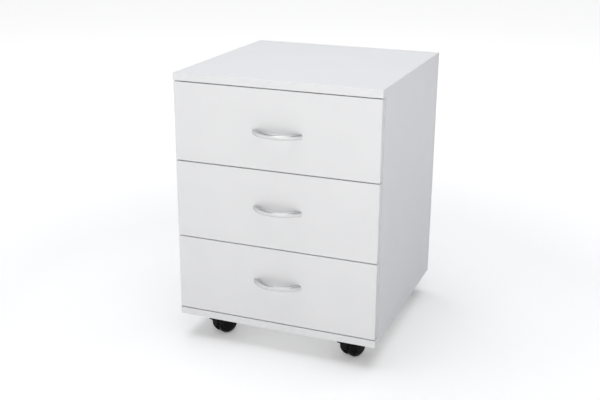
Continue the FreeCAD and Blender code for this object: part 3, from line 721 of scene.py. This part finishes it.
SHEET = 1.2 * MM
LIP_WIDTH = 14 * MM
TRACK_WIDTH, TRACK_CLEARANCE = 9.5 * MM, 0.9 * MM
HEM_WIDTH, HEM_DROP = 8 * MM, 12 * MM
TAB_WIDTH = 18 * MM
PIN_LENGTH, PIN_RADIUS = 8.9 * MM, 2.5 * MM


def make_drawer_side(level, side):
    """One bent steel sheet: floor lip, wall, track and hem, a front tab and a roller pin."""
    node = f"{level}_drawer_{side}_side"
    sign = SIDES[side]
    floor_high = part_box(level + "_drawer_floor")[1]
    face = floor_high.x + SHEET
    low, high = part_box(node)
    base, upper = low.z, high.z
    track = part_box(f"{level}_{side}_cabinet_runner")[1].z + TRACK_CLEARANCE
    bend, fold, tip = 2.0 * MM, 0.8 * MM, 0.5 * MM
    hem, hem_foot, lip = face + HEM_WIDTH, upper - HEM_DROP, face - LIP_WIDTH
    track_edge = face + TRACK_WIDTH
    profile = [(lip, base, tip), (face, base, bend), (face, track, tip),
               (track_edge, track, tip), (track_edge, track + SHEET, tip),
               (face, track + SHEET, fold), (face, upper - SHEET, fold),
               (hem - SHEET, upper - SHEET, fold), (hem - SHEET, hem_foot, tip),
               (hem, hem_foot, tip), (hem, upper, bend), (face - SHEET, upper, bend),
               (face - SHEET, base + SHEET, fold), (lip, base + SHEET, tip)]
    outline = [(sign * x, z) for x, z in rounded(profile)]
    bm = bmesh.new()
    prism(bm, outline, depth_frame(low.y), high.y - low.y)
    wall, tab_edge, corner = face - SHEET, face - SHEET - TAB_WIDTH, 3 * MM
    tab_foot, tab_top = base + 22 * MM, upper - 9 * MM
    tab = [(tab_edge, tab_foot, corner), (wall, tab_foot, tip), (wall, tab_top, tip),
           (tab_edge, tab_top, corner)]
    prism(bm, [(sign * x, z) for x, z in rounded(tab)], depth_frame(low.y), SHEET)
    pin = roller_place(level, "drawer")
    head = PIN_LENGTH - 0.6 * MM
    rivet = [(0, 0), (0, PIN_RADIUS), (head, PIN_RADIUS), (head, 4 * MM),
             (PIN_LENGTH - 0.2 * MM, 3.6 * MM), (PIN_LENGTH, 2.4 * MM), (PIN_LENGTH, 0)]
    lathe(bm, rivet, axis_frame((sign * face, pin.y, pin.z), (sign, 0, 0)), steps=32)
    add_piece(bm, node, WHITE_STEEL)


def depth_frame(y):
    """XY of this frame is the cabinet's X and Z, and its Z axis runs back along +Y."""
    return Matrix(((1, 0, 0, 0), (0, 0, 1, y), (0, 1, 0, 0), (0, 0, 0, 1)))


def roller_place(level, kind):
    low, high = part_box(f"{level}_{kind}_rollers")
    return (low + high) / 2


def make_rollers(level, kind):
    """Two moulded rollers with a hub, a recessed web and a rounded rim."""
    node = f"{level}_{kind}_rollers"
    bm = bmesh.new()
    for low, high in islands(node):
        width, radius = high.x - low.x, (high.z - low.z) / 2
        bore, hub, web, edge = 2.55 * MM, 4.4 * MM, 0.9 * MM, 0.7 * MM
        half = [(0, bore), (0, hub), (web, hub + 0.5 * MM), (web, radius - 2.4 * MM),
                (0, radius - 1.8 * MM), (0, radius - edge)]
        half += arc((edge, radius - edge), edge, 180, 90, 4)[1:]
        profile = half + [(width - along, away) for along, away in reversed(half)]
        start = Vector((low.x, (low.y + high.y) / 2, (low.z + high.z) / 2))
        lathe(bm, profile, axis_frame(start, (1, 0, 0)), steps=72, closed=True)
    add_piece(bm, node, NYLON)


def cross_recess(size_across, depth):
    """The tapered cross that a screwdriver bit fits, as a closed mesh below z = 0."""
    wide, narrow = size_across / 2, size_across / 7
    corners = [(wide, -narrow), (wide, narrow), (narrow, narrow), (narrow, wide),
               (-narrow, wide), (-narrow, narrow), (-wide, narrow), (-wide, -narrow),
               (-narrow, -narrow), (-narrow, -wide), (narrow, -wide), (narrow, -narrow)]
    bm = bmesh.new()
    rings = [add_ring(bm, [(x * share, y * share, z) for x, y in corners])
             for z, share in ((0.5 * MM, 1.15), (-depth, 0.55))]
    join_rings(bm, *rings)
    bm.faces.new(rings[0])
    bm.faces.new(rings[1])
    bmesh.ops.recalc_face_normals(bm, faces=bm.faces)
    mesh = bpy.data.meshes.new("recess")
    bm.to_mesh(mesh)
    bm.free()
    return bpy.data.objects.new("recess", mesh)


def screw_mesh(profile, size_across, depth, level):
    """A turned screw along Z with a cross recess cut into its head, whose top is at the level."""
    bm = bmesh.new()
    lathe(bm, profile, Matrix.Identity(4), steps=40)
    bmesh.ops.recalc_face_normals(bm, faces=bm.faces)
    mesh = bpy.data.meshes.new("screw")
    bm.to_mesh(mesh)
    bm.free()
    screw = bpy.data.objects.new("screw", mesh)
    recess = cross_recess(size_across, depth)
    recess.location.z = level
    for item in (screw, recess):
        bpy.context.scene.collection.objects.link(item)
    cutting = screw.modifiers.new("recess", "BOOLEAN")
    cutting.operation = "DIFFERENCE"
    cutting.object = recess
    bpy.context.view_layer.update()
    cut = bpy.data.meshes.new_from_object(
        screw.evaluated_get(bpy.context.evaluated_depsgraph_get()))
    for item in (screw, recess):
        bpy.data.objects.remove(item)
    return cut


def pan_screw(head, head_height, shank, length):
    """Profile, recess and top level of a domed screw whose head sits on z = 0."""
    dome = [(head_height, 0)]
    for step in range(1, 7):
        angle = math.radians(90 * step / 6)
        dome.append((head_height * (0.35 + 0.65 * math.cos(angle)),
                     head / 2 * math.sin(angle)))
    profile = dome + [(0, head / 2), (0, shank / 2), (0.6 * MM - length, shank / 2),
                      (-length, shank / 2 - 0.6 * MM), (-length, 0)]
    return screw_mesh(profile, head * 0.55, head_height * 0.75, head_height)


def flat_screw(head, head_height, shank, length):
    """The same for a countersunk screw whose head's flat top is at z = 0."""
    rim = 0.1 * MM
    profile = [(0, 0), (0, head / 2), (-rim, head / 2), (-head_height, shank / 2),
               (0.6 * MM - length, shank / 2), (-length, shank / 2 - 0.6 * MM), (-length, 0)]
    return screw_mesh(profile, head * 0.5, head_height * 0.7, 0)


def place_screws(node, screws):
    """Joins (mesh, matrix) copies into the piece that stands for the node's screws."""
    bm = bmesh.new()
    for mesh, matrix in screws:
        copy = mesh.copy()
        copy.transform(matrix)
        bm.from_mesh(copy)
        bpy.data.meshes.remove(copy)
    add_piece(bm, node, ZINC, smooth_angle=30)


HANDLE_HEAD, FIXING_HEAD = 8 * MM, 7 * MM


def make_drawer_screws(level, handle_screw, fixing_screw):
    """Handle screws against the front's back face, fixing screws on the sides' front tabs."""
    node = level + "_drawer_screws"
    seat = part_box(level + "_drawer_front")[1].y
    screws = []
    for low, high in islands(node):
        middle = (low + high) / 2
        is_handle_screw = high.x - low.x > (HANDLE_HEAD + FIXING_HEAD) / 2
        mesh = handle_screw if is_handle_screw else fixing_screw
        at = seat if is_handle_screw else seat + SHEET
        screws.append((mesh, axis_frame((middle.x, at, middle.z), (0, 1, 0))))
    place_screws(node, screws)


def make_all_screws():
    handle_screw = pan_screw(HANDLE_HEAD, 2.4 * MM, 4 * MM, 19.6 * MM)
    fixing_screw = pan_screw(FIXING_HEAD, 1.8 * MM, 3.5 * MM, 13 * MM)
    for level in LEVELS:
        make_drawer_screws(level, handle_screw, fixing_screw)
    runner_screw = pan_screw(8 * MM, 1.2 * MM, 5 * MM, 13 * MM)
    web_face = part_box("right_side_panel")[0].x - SHEET
    screws = []
    for low, high in islands("runner_screws"):
        middle = (low + high) / 2
        sign = math.copysign(1, middle.x)
        screws.append((runner_screw, axis_frame((sign * web_face, middle.y, middle.z),
                                                (-sign, 0, 0))))
    place_screws("runner_screws", screws)
    castor_screw = flat_screw(7.4 * MM, 1.8 * MM, 4 * MM, 14 * MM)
    screws = []
    for low, high in islands("castor_screws"):
        middle = (low + high) / 2
        screws.append((castor_screw, axis_frame((middle.x, middle.y, low.z), (0, 0, -1))))
    place_screws("castor_screws", screws)


def make_details():
    for level in LEVELS:
        make_handle(level)
        for kind in ("cabinet", "drawer"):
            make_rollers(level, kind)
        for side in SIDES:
            make_drawer_side(level, side)
    for castor in CASTORS:
        make_castor_hood(castor)
        for side in SIDES:
            make_castor_wheel(castor, side)
    make_all_screws()


# Studio

def make_floor():
    bpy.ops.mesh.primitive_plane_add(size=40)
    floor = bpy.context.object
    floor.name = "studio_floor"
    floor.data.materials.append(make_floor_material())


HORIZON, ZENITH, RIGHT_SHARE, BACKDROP = 0.80, 0.16, 0.02, 0.93


def make_world():
    """A pale backdrop. Its light is strong near the horizon, weak overhead and on the right."""
    world = bpy.data.worlds.new("studio")
    bpy.context.scene.world = world
    world.use_nodes = True
    tree = world.node_tree
    tree.nodes.clear()
    direction = add_node(tree, "TexCoord").outputs["Generated"]
    towards = add_node(tree, "SeparateXYZ", {"Vector": direction}).outputs
    upwards = spread(tree, towards["Z"], 0.16, 0.32, HORIZON, ZENITH)
    sideways = spread(tree, towards["X"], -0.2, 0.7, 1.0, RIGHT_SHARE)
    strength = math_node(tree, "MULTIPLY", upwards, sideways)
    seen = add_node(tree, "LightPath").outputs["Is Camera Ray"]
    strength = spread(tree, seen, 0.0, 1.0, strength, BACKDROP)
    background = add_node(tree, "Background", {"Color": (0.985, 0.995, 1.03, 1),
                                               "Strength": strength})
    output = add_node(tree, "OutputWorld")
    tree.links.new(background.outputs["Background"], output.inputs["Surface"])


SOFTBOXES = {  # from the middle of the floor: place, width, height, power, colour
    "overhead": ((0.0, 0.0, 2.5), 2.6, 2.6, 53.0, (0.995, 1.0, 1.02)),
    "strip": ((0.3, -1.7, 1.6), 3.0, 0.6, 3.0, (1.01, 1.0, 0.98)),
    "front": ((0.34, -2.35, 0.8), 2.4, 0.6, 9.7, (1.015, 1.0, 0.965)),
    "right": ((2.1, -1.2, 1.25), 1.2, 1.4, 2.7, (0.98, 1.0, 1.06)),
}


def make_lights():
    middle = (CAD_BOX[0] + CAD_BOX[1]) / 2
    for name, (spot, width, height, power, colour) in SOFTBOXES.items():
        data = bpy.data.lights.new(name, "AREA")
        data.shape = "RECTANGLE"
        data.size, data.size_y = width, height
        data.energy = power
        data.color = colour
        lamp = bpy.data.objects.new(name, data)
        bpy.context.scene.collection.objects.link(lamp)
        lamp.location = spot
        lamp.rotation_euler = (Vector(spot) - middle).to_track_quat("Z", "Y").to_euler()
        lamp.visible_camera = False


CAMERA_ANGLES = (21.233, 18.780, -0.343)  # degrees: round from the front, down, roll
CAMERA_PLACE = (0.7070, -1.8845, 0.9674)
SENSOR_WIDTH = 36
CAMERA_LENS = 56.136


def make_camera():
    """The viewing angle: from the front right and above."""
    azimuth, pitch, roll = (math.radians(angle) for angle in CAMERA_ANGLES)
    ahead = Vector((-math.sin(azimuth) * math.cos(pitch), math.cos(azimuth) * math.cos(pitch),
                    -math.sin(pitch)))
    data = bpy.data.cameras.new("camera")
    data.sensor_width = SENSOR_WIDTH
    data.lens = CAMERA_LENS
    camera = bpy.data.objects.new("camera", data)
    bpy.context.scene.collection.objects.link(camera)
    camera.rotation_mode = "QUATERNION"
    camera.rotation_quaternion = ahead.to_track_quat("-Z", "Y")
    camera.rotation_quaternion @= Matrix.Rotation(-roll, 3, "Z").to_quaternion()
    camera.location = CAMERA_PLACE
    data.clip_start, data.clip_end = 0.05, 60
    bpy.context.scene.camera = camera


dress_boards()
dress_fittings()
make_details()
make_floor()
make_world()
make_lights()
make_camera()

view_settings = bpy.context.scene.view_settings
view_settings.view_transform = "Standard"
view_settings.look = "None"
